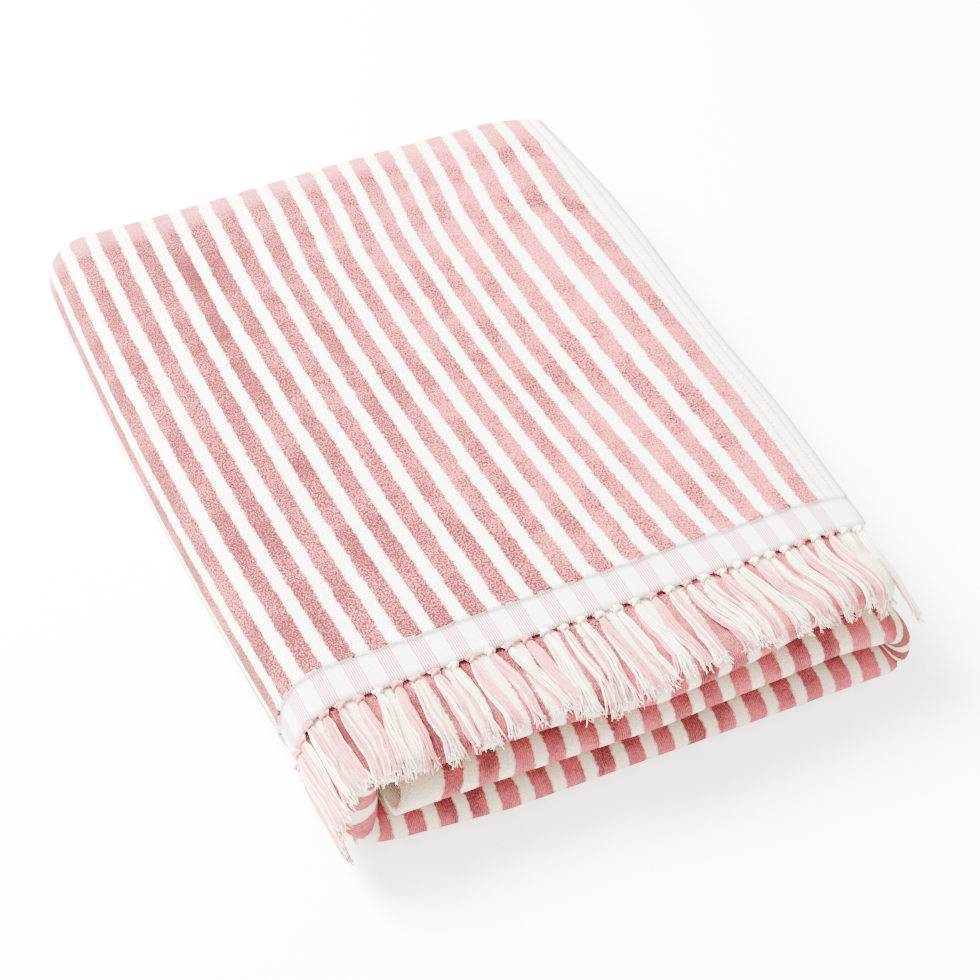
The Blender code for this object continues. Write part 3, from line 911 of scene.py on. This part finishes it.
# %% Give the cloth its finishes
cloth.data.materials.clear()
cloth.data.materials.append(terry)
cloth.data.materials.append(border_finish)
loop_uv = np.empty(2 * len(cloth.data.loops))
cloth.data.uv_layers["cloth"].uv.foreach_get("vector", loop_uv)
loop_uv = loop_uv.reshape(-1, 2)
first_loop = np.empty(len(cloth.data.polygons), dtype=np.int32)
cloth.data.polygons.foreach_get("loop_start", first_loop)
face_length = MAP_LENGTH * 0.5 * (loop_uv[first_loop, 1] + loop_uv[first_loop + 2, 1])
face_across = MAP_WIDTH * loop_uv[first_loop, 0]
column_length = np.interp(face_across, PLACES / STRIPE, lengths[:, -1])
at_end = (face_length < BORDER_LENGTH) | (face_length > column_length - BORDER_LENGTH)
cloth.data.polygons.foreach_set("material_index", at_end.astype(np.int32))
cloth.data.update()
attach(cloth, "root")
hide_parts("towel_cloth")
print(int(at_end.sum()), "faces of border and", int((~at_end).sum()), "of terry")

# %% [markdown]
# ## Fringe
#
# Beyond the border the warp threads are gathered, knotted and left to hang. A lock is a dozen soft
# plied yarns that leave the knot in a narrow neck and open into a flat tassel, each yarn a little
# wavy and a little longer or shorter than the next. A curve with a round bevel is the simplest yarn,
# so each lock is a bundle of curves, sent through the same folds as the cloth.

# %% The course of a lock
LOCK_SUNK = 0.0013
LOCK_RISE = 3.5 * LAYER + PILE / 2 - LOCK_SUNK
NOSE_CLEAR = 0.0020
HANG_SLANT = 0.45
AIM_STEP = 0.0005


def drooping_course(front, start):
    """Course of a lock that hangs over the front fold, from its knot on."""
    centre, middle, depth, height = front_arc(front)
    over = LOCK_RISE - middle - height
    nose = arc(centre, middle, depth + over + NOSE_CLEAR, height + over, 90, 180, 13)
    hanging = nose[-1] - (HANG_SLANT * LOCK_LENGTH, LOCK_LENGTH)
    return np.vstack([[start, LOCK_RISE], [centre + 2 * AIM_STEP, LOCK_RISE], nose, hanging])


def level_course(start, rise, climb):
    """Course of a lock that lies level, or climbs a little, in front of its knot."""
    return np.array([[start, rise], [start - 2 * LOCK_LENGTH, rise + 2 * climb]])


def along_course(course, distance):
    """Where a course has got to after a distance from its knot, and its direction there."""
    walked = np.concatenate([[0.0], np.cumsum(np.hypot(*np.diff(course, axis=0).T))])
    ahead = np.stack([np.interp(distance + AIM_STEP, walked, part) for part in course.T], axis=-1)
    behind = np.stack([np.interp(distance - AIM_STEP, walked, part) for part in course.T], axis=-1)
    heading = ahead - behind
    heading = heading / np.maximum(np.linalg.norm(heading, axis=-1, keepdims=True), 1e-9)
    return (ahead + behind) / 2, heading


print("a lock is", round(1000 * LOCK_LENGTH), "mm long")

# %% [markdown]
# Within a lock, each yarn keeps its own place in the bundle. The bundle is as wide as the cloth
# behind it at its root, pinched in the knot, and widest at its tip. The yarns twist round each other
# a little, curl on their own and sway together. Dice with a fixed start give each its own way.

# %% How yarns lie in a lock
dice = np.random.default_rng(11)
BUNDLE = (
    # distance, half width, half height, in mm
    (-2.7, 3.4, 0.1),
    (-0.9, 1.5, 0.5),
    (0.2, 0.8, 0.6),
    (1.8, 1.3, 1.1),
    (5.0, 2.3, 1.9),
    (9.0, 2.9, 2.1),
    (22.0, 3.5, 1.9),
    (40.0, 3.4, 1.5),
    (54.0, 4.1, 1.2),
)
STOPS = (-2.7, -1.0, 0.2, 1.8, 4.0, 8.0, 14.0, 21.0, 28.0, 35.0, 42.0, 48.0, 53.0)
ROOT = 0.0027
NECK = 0.008
KNOT_END = 0.004
TWIST = (0.5, 2.2)
CURL = (0.00010, 0.00070)
CURL_LENGTH = (0.014, 0.026)
CURL_START = 0.010
SWAY = (0.0003, 0.0012)
SWAY_LENGTH = (0.04, 0.07)
STRAY = 0.0014
STRAY_START = 0.036
LOOSE_RUN = 0.020
print("a lock is", 2 * BUNDLE[2][1], "mm wide in its knot and", 2 * BUNDLE[-1][1], "mm at its tip")

# %% [markdown]
# A yarn is a row of points that starts in the border's last threads, passes the knot and follows the
# lock's course. Its place in the bundle, its twist, its curl and its sway are added to that course, so
# one function draws every lock.

# %% Yarns of one lock
def lock_yarns(knot, course, root_rise, yarns, stops, lean, fan, length):
    """World points of the yarns of one lock, one row of points for each yarn."""
    table = np.array(BUNDLE) / 1000.0
    around = 2.0 * math.pi * (np.arange(yarns) + dice.uniform(-0.3, 0.3, yarns)) / yarns
    outward = np.sqrt(dice.uniform(0.12, 1.0, (yarns, 1)))
    reach = length * (1.0 + dice.uniform(-0.07, 0.04, yarns))
    stops = np.array(stops) / 1000.0
    distance = np.where(stops < NECK, stops, stops * reach[:, None] / stops[-1])
    half_width = np.interp(distance, table[:, 0], table[:, 1])
    half_height = np.interp(distance, table[:, 0], table[:, 2])
    tail = smooth((distance - KNOT_END) / (length - KNOT_END))
    half_width = half_width * (1.0 + (fan - 1.0) * tail)
    turn = around[:, None] + dice.uniform(*TWIST) * distance / length
    waves = 2.0 * math.pi * distance / dice.uniform(*CURL_LENGTH, (yarns, 1))
    curl = dice.uniform(*CURL, (yarns, 1)) * smooth((distance - CURL_START) / LOOSE_RUN)
    sway = dice.uniform(*SWAY) * smooth(distance / LOOSE_RUN)
    sway = sway * np.sin(2.0 * math.pi * (distance / dice.uniform(*SWAY_LENGTH) + dice.random()))
    sideways = outward * np.cos(turn) * half_width + curl * np.sin(waves + turn) + sway
    strays = smooth((distance - STRAY_START) / LOOSE_RUN)
    sideways += dice.normal(0.0, STRAY, (yarns, 1)) * strays
    sideways -= lean * (0.55 * distance.clip(0.0) / length + 0.45 * tail)
    lift = outward * np.sin(turn) * half_height + 0.3 * curl * np.cos(waves)
    at, heading = along_course(course, np.maximum(distance, 0.0))
    along = at[..., 0] - lift * heading[..., 1] + np.maximum(-distance, 0.0)
    rise = at[..., 1] - lift * heading[..., 0]
    rise += (root_rise - course[0, 1]) * np.clip(-distance / ROOT, 0.0, 1.0)
    return place(knot + sideways, along, rise)


trial_course = level_course(0.0, LOCK_RISE, 0.0)
trial = lock_yarns(0.1, trial_course, LOCK_RISE, 12, STOPS, 0.0, 1.0, LOCK_LENGTH)
print("one lock has", trial.shape[0], "yarns of", trial.shape[1], "points")

# %% [markdown]
# The tip of a yarn comes apart into finer threads. Two short hairs on each are enough to show it.

# %% Frayed ends
HAIRS = 2
HAIR_ROOT = 0.0008
HAIR_MIDDLE = 0.0009
HAIR_TIP = 0.0019
HAIR_SPREAD = 0.38


def frayed_ends(yarns):
    """Short hairs at the tip of each yarn, opening sideways."""
    tips = yarns[:, -1]
    onward = tips - yarns[:, -2]
    onward = onward / np.linalg.norm(onward, axis=1, keepdims=True)
    hairs = []
    for hair in range(HAIRS):
        stray = dice.normal(0.0, HAIR_SPREAD, (len(tips), 3)) * (1.0, 1.0, 0.5)
        middle = tips + HAIR_MIDDLE * (onward + stray)
        end = tips + HAIR_TIP * (onward + 1.5 * stray)
        hairs.append(np.stack([tips - HAIR_ROOT * onward, middle, end], axis=1))
    return np.concatenate(hairs)


print("each yarn frays into", HAIRS, "hairs about", round(1000 * HAIR_TIP, 1), "mm long")

# %% [markdown]
# The cotton of the fringe is the border's own warp: white, with pink threads where a band ends.
# Unlike the terry it has no loops, so its finish is a fine twist only. The white and the pink each
# have a darker copy, which paints shade between the yarns on about a third of them.

# %% Yarn finishes
YARN_SURFACE = {
    "Roughness": 0.85,
    "Specular IOR Level": 0.2,
    "Sheen Weight": 0.25,
    "Sheen Roughness": 0.5,
}


def yarn_finish(name, colour, shade):
    """Soft plied cotton in one colour, with its shade between the plies."""
    finish, tree, shader = new_finish(name)
    place_on = add_node(tree, "ShaderNodeTexCoord").outputs["Object"]
    fluff = noise_of(tree, place_on, 900.0, 3.0)
    drift = noise_of(tree, place_on, 90.0)
    mixed = sum_of(tree, "MULTIPLY_ADD", fluff, 0.6, sum_of(tree, "MULTIPLY", drift, 0.4))
    share = range_of(tree, mixed, 0.35, 0.7)
    tree.links.new(mix_colours(tree, share, colour, shade), shader.inputs["Base Color"])
    tree.links.new(relief_of(tree, fluff, 0.4, 0.0003), shader.inputs["Normal"])
    set_surface(shader, YARN_SURFACE)
    return finish


white_cotton = yarn_finish("white_cotton", (0.82, 0.735, 0.60, 1.0), (0.56, 0.43, 0.32, 1.0))
# Darker copies of the white and the pink: painted shade between the yarns.
shaded_white_cotton = yarn_finish("shaded_white_cotton", (0.70, 0.58, 0.46, 1.0), (0.48, 0.34, 0.25, 1.0))
pink_cotton = yarn_finish("pink_cotton", (0.58, 0.19, 0.20, 1.0), (0.38, 0.08, 0.09, 1.0))
shaded_pink_cotton = yarn_finish("shaded_pink_cotton", (0.52, 0.15, 0.16, 1.0), (0.32, 0.05, 0.06, 1.0))
YARNS = (white_cotton, shaded_white_cotton, pink_cotton, shaded_pink_cotton)
print("yarn finishes:", [finish.name for finish in YARNS])

# %% [markdown]
# A yarn is one curve, thin at its tip, and each takes one of the four cottons. Where a pink band ends
# behind the fringe, most yarns of a lock are pink, and they lie together on one side of it.

# %% Spin the yarns of a fringe
YARN = 0.00056
YARN_CLEAR = 0.0008
TIP_SIZE = 0.55
PINK_MEAN = 0.44
PINK_SWING = 0.26
WHITE_CORNER = 0.7
PINK_MIXING = 0.26
SHADED_PART = 0.35


def pink_share_at(stripe):
    """Share of pink yarns in a lock, by its place among the bands."""
    by_band = PINK_MEAN + PINK_SWING * math.cos(2.0 * math.pi * (stripe - SIDE_BORDER - 0.25))
    return by_band * float(smooth((stripe - WHITE_CORNER) / 0.5))


def spin_yarns(name, bundles, sides):
    """A piece of curves made solid: bundles holds yarns' points, the share of pink and a yarn
    thickness.
    """
    curve = bpy.data.curves.new(name, "CURVE")
    curve.dimensions = "3D"
    curve.bevel_depth = YARN
    curve.bevel_resolution = sides
    curve.use_fill_caps = True
    for finish in YARNS:
        curve.materials.append(finish)
    for yarns, pink_part, stoutness in bundles:
        order = (np.arange(len(yarns)) + 0.5) / len(yarns)
        order = order if dice.random() < 0.5 else order[::-1]
        yarns[:, :, 2] = np.maximum(yarns[:, :, 2], YARN_CLEAR)
        for points, turn in zip(yarns, order):
            spline = curve.splines.new("POLY")
            spline.points.add(len(points) - 1)
            weights = np.concatenate([points, np.ones((len(points), 1))], axis=1)
            spline.points.foreach_set("co", weights.ravel())
            size = np.ones(len(points))
            size[-1] = TIP_SIZE
            spline.points.foreach_set("radius", stoutness * size * dice.uniform(0.85, 1.15))
            pinkish = turn + dice.normal(0.0, PINK_MIXING) < pink_part
            # About a third of the yarns take a darker copy, as painted shade.
            spline.material_index = 2 * int(pinkish) + int(dice.random() < SHADED_PART)
            spline.use_smooth = True
    spun = bpy.data.objects.new(name, curve)
    bpy.context.collection.objects.link(spun)
    bpy.ops.object.select_all(action="DESELECT")
    spun.select_set(True)
    bpy.context.view_layer.objects.active = spun
    bpy.ops.object.convert(target="MESH")
    return bpy.context.object


print("a yarn is", round(2000 * YARN, 2), "mm thick")

# %% [markdown]
# The knots come from one model: two loops of yarn drawn tight round the neck, crossing each other.
# Each knot of the fringe is a copy with its own mesh, turned a little and set in its place.

# %% One knot
KNOT_RING = 0.00165
KNOT_ROPE = 0.00115
KNOT_FLAT = 0.86


def tight_loop(tilt, shift):
    """One loop of the knot: a ring round the neck, leaning to one side."""
    bpy.ops.object.select_all(action="DESELECT")
    bpy.ops.mesh.primitive_torus_add(
        major_segments=9,
        minor_segments=5,
        major_radius=KNOT_RING,
        minor_radius=KNOT_ROPE,
        rotation=(math.radians(90.0), 0.0, 0.0),
    )
    loop = bpy.context.object
    loop.data.transform(Matrix.Rotation(math.radians(90.0), 4, "X"))
    loop.data.transform(Matrix.Rotation(tilt, 4, "Z"))
    loop.data.transform(Matrix.Translation((0.0, shift, 0.0)))
    loop.data.transform(Matrix.Diagonal((1.0, 1.0, KNOT_FLAT, 1.0)))
    loop.rotation_euler = (0.0, 0.0, 0.0)
    return loop


left_loop = tight_loop(math.radians(32.0), -0.0004)
right_loop = tight_loop(math.radians(-24.0), 0.0005)
bpy.ops.object.select_all(action="DESELECT")
right_loop.select_set(True)
left_loop.select_set(True)
bpy.context.view_layer.objects.active = left_loop
bpy.ops.object.join()
knot_model = bpy.context.object
knot_model.name = "one_knot"
bpy.ops.object.shade_smooth()
print("one knot has", len(knot_model.data.polygons), "faces")

# %% [markdown]
# No two knots tied by hand are alike. The dice size, roll and turn each copy a little, and a knot
# takes its colour by the share of pink in its lock.

# %% Tie the knots of a fringe
KNOT_CLEAR = 0.0031


def tie_knots(name, spots, shares):
    """Copies of the knot at the spots, joined into one piece."""
    tied = []
    for spot, share in zip(spots, shares):
        spot[2] = max(spot[2], KNOT_CLEAR)
        knot = knot_model.copy()
        knot.data = knot_model.data.copy()
        knot.data.materials.append(pink_cotton if dice.random() < share else white_cotton)
        spin = Matrix.Rotation(dice.uniform(-0.5, 0.5), 4, "Z")
        roll = Matrix.Rotation(dice.uniform(-0.3, 0.3), 4, "Y")
        size = Matrix.Scale(dice.uniform(0.9, 1.12), 4)
        knot.data.transform(Matrix.Translation(Vector(spot)) @ spin @ roll @ size)
        bpy.context.collection.objects.link(knot)
        tied.append(knot)
    bpy.ops.object.select_all(action="DESELECT")
    for knot in tied:
        knot.select_set(True)
    bpy.context.view_layer.objects.active = tied[0]
    bpy.ops.object.join()
    tied[0].name = name
    return tied[0]


print("ready to tie", 2 * LOCKS, "knots")

# %% [markdown]
# The outer fringe shows along the front and round the left corner. There its locks hang over the
# front fold. Further on, its locks lie flat under the packet or between the layers, and need fewer
# yarns. A table says how the locks in sight lean and how far they reach.

# %% How the locks in sight lie
PITCH = (CLOTH_WIDTH - 0.24 * STRIPE) / LOCKS
KNOTS = 0.12 * STRIPE + PITCH * (np.arange(LOCKS) + 0.5)
LOCK_LIE = (
    # across, in stripes, lean to the right and length, in mm
    (0.7, 23.0, 54.0),
    (1.1, 15.0, 49.0),
    (1.7, 15.0, 49.0),
    (2.75, 11.0, 49.0),
    (3.3, 16.0, 48.0),
    (3.9, 12.0, 48.0),
    (4.4, 16.0, 48.5),
    (5.0, 13.0, 48.5),
    (5.5, 4.0, 48.0),
    (6.1, 9.0, 47.5),
    (6.7, 9.0, 49.5),
    (7.2, 2.0, 49.0),
    (8.3, 4.0, 50.5),
    (9.1, 4.0, 52.0),
    (9.7, 0.0, 56.0),
    (10.8, 2.0, 56.0),
    (11.3, -1.0, 52.0),
    (11.9, 11.0, 47.0),
    (12.4, 8.0, 45.0),
    (13.0, 4.0, 48.0),
    (13.6, 0.0, 47.0),
    (14.2, 3.0, 48.0),
    (14.7, 0.0, 48.0),
    (15.3, -3.0, 51.0),
    (15.9, -7.0, 49.0),
    (16.9, -1.0, 50.0),
    (17.8, 1.0, 48.0),
    (19.0, 1.0, 53.0),
    (21.0, 1.0, 53.0),
)
print("a knot every", round(1000 * PITCH, 1), "mm")

# %% [markdown]
# Where a lock goes depends on where its knot is. Past the hem's corner it reaches out and sinks. In
# front of the packet it bends over the fold and hangs, and further on it lies level. The knot's place
# across the cloth picks the course.

# %% Courses of the locks in sight
OVERHANG_ACROSS = 1.0 * STRIPE
DROOP_ACROSS = 16.6 * STRIPE
OVERHANG_DROP = 0.016
OVERHANG = (
    # distance in front of the knot, in metres, share of the drop
    (0.0, 0.0),
    (0.010, 0.0),
    (0.030, 0.35),
    (0.052, 1.0),
)


def overhanging_course(start, drop):
    """Course of a lock past the hem's corner, which reaches out and sinks a little."""
    return np.array([[start - ahead, LOCK_RISE - share * drop] for ahead, share in OVERHANG])


def shown_course(knot, start, number):
    """Course of a lock that is in sight."""
    if knot < OVERHANG_ACROSS:
        return overhanging_course(start, OVERHANG_DROP * (1 + number % 2))
    if knot < DROOP_ACROSS:
        return drooping_course(read_table(FRONT, knot, 1), start)
    return level_course(start, LOCK_RISE, 0.0)


print("the locks hang over the front fold up to", round(DROOP_ACROSS / STRIPE, 1), "stripes across")

# %% [markdown]
# Each lock in sight is drawn in full, with frayed ends. A covered one gets fewer and shorter yarns,
# which spends the faces where they can be seen.

# %% Outer fringe
SHOWN_ACROSS = 21.0 * STRIPE
SHOWN_YARNS = 18
COVERED_YARNS = 8
COVERED_STOPS = (-2.7, 0.2, 6.0, 22.0, 38.0, 53.0)
COVERED_LENGTH = 0.040
COVERED_LEAN = 0.0022
COVERED_FAN = 0.7
HAIR_SIZE = 0.42
KNOT_LIFT = 0.0006


def outer_fringe():
    """Yarns of the shown and of the covered locks, and the places of all the knots."""
    shown, covered, spots = [], [], []
    rise = 3.5 * LAYER
    for number, knot in enumerate(KNOTS):
        start = read_table(FRONT, knot, 2) - ROOT - dice.uniform(-0.0006, 0.0010)
        pink_part = pink_share_at(knot / STRIPE)
        if knot < SHOWN_ACROSS:
            course = shown_course(knot, start, number)
            lean = read_table(LOCK_LIE, knot, 1) / STRIPE / 1000.0
            length = read_table(LOCK_LIE, knot, 2) / STRIPE / 1000.0
            fan = dice.uniform(0.75, 1.3)
            yarns = lock_yarns(knot, course, rise, SHOWN_YARNS, STOPS, lean, fan, length)
            shown.append((yarns, pink_part, 1.0))
            shown.append((frayed_ends(yarns), 0.6 * pink_part, HAIR_SIZE))
        else:
            course = level_course(start, LOCK_RISE, 0.0)
            lean = COVERED_LEAN * math.sin(0.9 * number)
            flat = (COVERED_YARNS, COVERED_STOPS, lean, COVERED_FAN, COVERED_LENGTH)
            covered.append((lock_yarns(knot, course, rise, *flat), pink_part, 1.1))
        spots.append(place(knot, start, LOCK_RISE + KNOT_LIFT))
    return shown, covered, spots


shown, covered, spots = outer_fringe()
shares = [pink_share_at(knot / STRIPE) for knot in KNOTS]
shown_piece = spin_yarns("end_fringe", shown, 1)
covered_piece = spin_yarns("covered_locks", covered, 0)
knots_piece = tie_knots("outer_knots", spots, shares)
print(len(shown) // 2, "locks in sight and", len(covered), "covered")

# %% [markdown]
# The end that is folded inside has the same fringe. Its locks lie between two layers and climb a
# little towards the front, and a few yarns each are enough.

# %% Inner fringe
INNER_YARNS = 5
INNER_LENGTH = 0.056
INNER_LEAN = 0.0016
INNER_CLIMB = 0.38 * LAYER


def inner_fringe():
    """Yarns of the locks inside the packet, and the places of their knots."""
    bundles, spots = [], []
    rise = 2.5 * LAYER
    for number, knot in enumerate(KNOTS):
        start = HIDDEN_END + read_table(FRONT, knot, 2) - ROOT
        course = level_course(start, rise, INNER_CLIMB)
        lean = INNER_LEAN * math.sin(0.9 * number)
        flat = (INNER_YARNS, COVERED_STOPS, lean, COVERED_FAN, INNER_LENGTH)
        bundles.append((lock_yarns(knot, course, rise, *flat), pink_share_at(knot / STRIPE), 1.1))
        spots.append(place(knot, start, rise))
    return bundles, spots


inner, inner_spots = inner_fringe()
inner_piece = spin_yarns("hidden_fringe", inner, 0)
inner_knots = tie_knots("inner_knots", inner_spots, shares)
print(len(inner), "locks inside the packet")

# %% [markdown]
# The yarns and knots of one end are joined into one piece, which stands for that end's fringe in the
# solid model.

# %% Join each fringe
def join_pieces(name, pieces):
    """Join pieces into the first, and name it."""
    bpy.ops.object.select_all(action="DESELECT")
    for piece in pieces:
        piece.select_set(True)
    bpy.context.view_layer.objects.active = pieces[0]
    bpy.ops.object.join()
    pieces[0].name = name
    return pieces[0]


end_fringe = join_pieces("end_fringe", [shown_piece, covered_piece, knots_piece])
hidden_fringe = join_pieces("hidden_fringe", [inner_piece, inner_knots])
bpy.data.objects.remove(knot_model)
for piece, node in ((end_fringe, "fringe_outer"), (hidden_fringe, "fringe_inner")):
    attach(piece, "root")
    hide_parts(node)
    print(piece.name, "has", len(piece.data.polygons), "faces")

# %% [markdown]
# ## What the cloth was cut to
# Laid out flat, the towel is a metre wide.

# %% [markdown]
# ## Floor and light
#
# The towel lies on a plain white floor. Most of the light is even and comes from all round, as in a
# white studio. A large soft lamp behind the left shoulder of the packet gives the gentle shadow to
# the front and right.

# %% Floor
FLOOR_SIZE = 12.0
FLOOR_GAP = 0.0004

bpy.ops.object.select_all(action="DESELECT")
bpy.ops.mesh.primitive_plane_add(size=FLOOR_SIZE, location=(0.0, 0.0, 0.0))
floor = bpy.context.object
floor.name = "floor"
floor.data.transform(Matrix.Translation((0.0, 0.0, -FLOOR_GAP)))
floor_finish, tree, shader = new_finish("white_floor")
FLOOR_SURFACE = {
    "Base Color": (0.93, 0.915, 0.90, 1.0),
    "Roughness": 0.9,
    "Specular IOR Level": 0.1,
    "Emission Color": (1.0, 0.965, 0.93, 1.0),
    "Emission Strength": 1.9,
}
set_surface(shader, FLOOR_SURFACE)
floor.data.materials.append(floor_finish)
print("floor laid")

# %% [markdown]
# Light from every side is the world's background. One even colour is enough, because cotton shows no
# reflection of the room.

# %% Light all round
world = bpy.data.worlds.new("white_room")
world.use_nodes = True
background = world.node_tree.nodes["Background"]
set_surface(background, {"Color": (1.0, 0.94, 0.88, 1.0), "Strength": 3.0})
bpy.context.scene.world = world
print("the room's own light is on")

# %% [markdown]
# A large lamp gives a soft shadow, as a window does. The one at the back does the work, and a weak one
# in front keeps the hanging locks from going dark.

# %% Lamps
LAMP_AIM = (0.0, 0.0, 0.03)
LAMP_COLOUR = (0.965, 0.985, 1.0)


def soft_lamp(name, spot, size, power):
    """A large square lamp that faces the towel."""
    bpy.ops.object.select_all(action="DESELECT")
    bpy.ops.object.light_add(type="AREA", location=spot)
    lamp = bpy.context.object
    lamp.name = name
    lamp.data.size = size
    lamp.data.energy = power
    lamp.data.color = LAMP_COLOUR
    towards = Vector(LAMP_AIM) - Vector(spot)
    lamp.rotation_euler = towards.to_track_quat("-Z", "Y").to_euler()
    return lamp


key = soft_lamp("lamp_back_left", (-0.9, 1.0, 1.5), 1.2, 670.0)
fill = soft_lamp("lamp_front", (-0.9, -1.8, 1.8), 2.0, 10.0)
print("lamps:", key.name, "and", fill.name)
